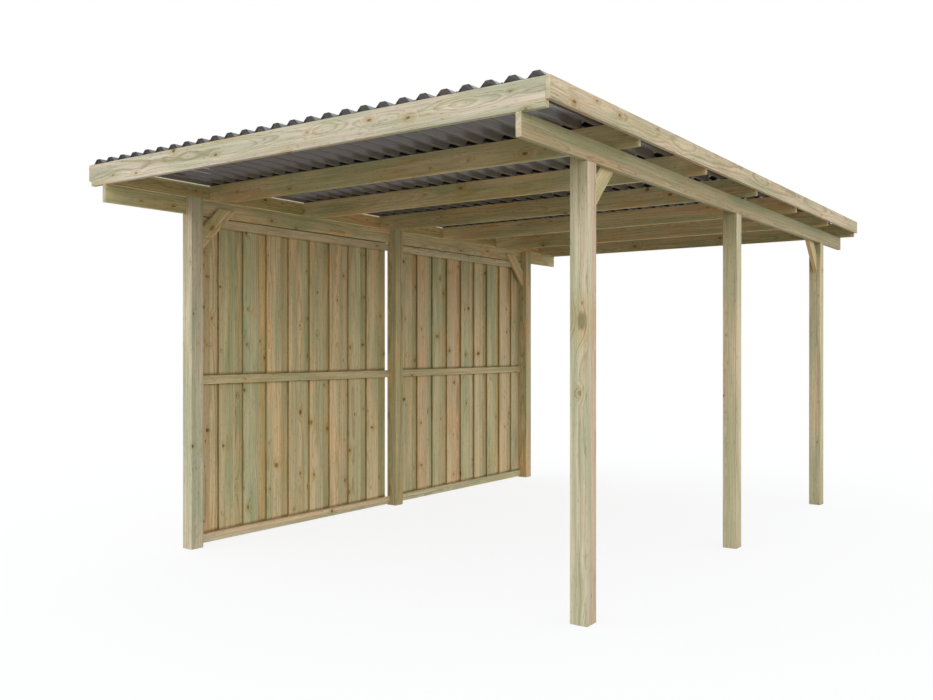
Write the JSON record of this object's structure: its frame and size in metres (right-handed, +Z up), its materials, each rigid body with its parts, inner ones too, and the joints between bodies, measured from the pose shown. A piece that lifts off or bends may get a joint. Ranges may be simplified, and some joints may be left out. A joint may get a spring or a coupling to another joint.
{
  "type": "carport",
  "caption": "Flat-roofed timber carport: post rows with let-in edge beams, knee braces and cross joists under trapezoid sheets, one long side closed by overlapping boards.",
  "frame": {"origin": "ground level under the middle of the roof, at the bottom centre of the bounding box", "axes": "+Z up; +Y from the front of the carport to the rear; +X from the wall towards the open side"},
  "size_m": [3.074, 5.098, 2.3213],
  "materials": {
    "frame_timber": "planed, pressure-treated softwood, pale green-tan",
    "wall_timber": "planed, pressure-treated softwood boards, green-brown",
    "roof_sheet": "dark grey coated steel, semi-gloss"
  },
  "bodies": {
    "root": {"front_left_post": "frame_timber", "middle_left_post": "frame_timber", "rear_left_post": "frame_timber", "front_right_post": "frame_timber", "middle_right_post": "frame_timber", "rear_right_post": "frame_timber", "left_beam": "frame_timber", "right_beam": "frame_timber", "front_joist": "frame_timber", "inner_1_joist": "frame_timber", "inner_2_joist": "frame_timber", "inner_3_joist": "frame_timber", "inner_4_joist": "frame_timber", "inner_5_joist": "frame_timber", "rear_joist": "frame_timber", "left_fascia": "frame_timber", "right_fascia": "frame_timber", "front_left_brace": "frame_timber", "rear_left_brace": "frame_timber", "front_right_brace": "frame_timber", "rear_right_brace": "frame_timber", "front_bay_bottom_rail": "wall_timber", "front_bay_middle_rail": "wall_timber", "front_bay_top_rail": "wall_timber", "rear_bay_bottom_rail": "wall_timber", "rear_bay_middle_rail": "wall_timber", "rear_bay_top_rail": "wall_timber", "front_bay_inner_boards": "wall_timber", "front_bay_outer_boards": "wall_timber", "rear_bay_inner_boards": "wall_timber", "rear_bay_outer_boards": "wall_timber", "left_roof_sheet": "roof_sheet", "middle_roof_sheet": "roof_sheet", "right_roof_sheet": "roof_sheet"}
  },
  "joints": []
}
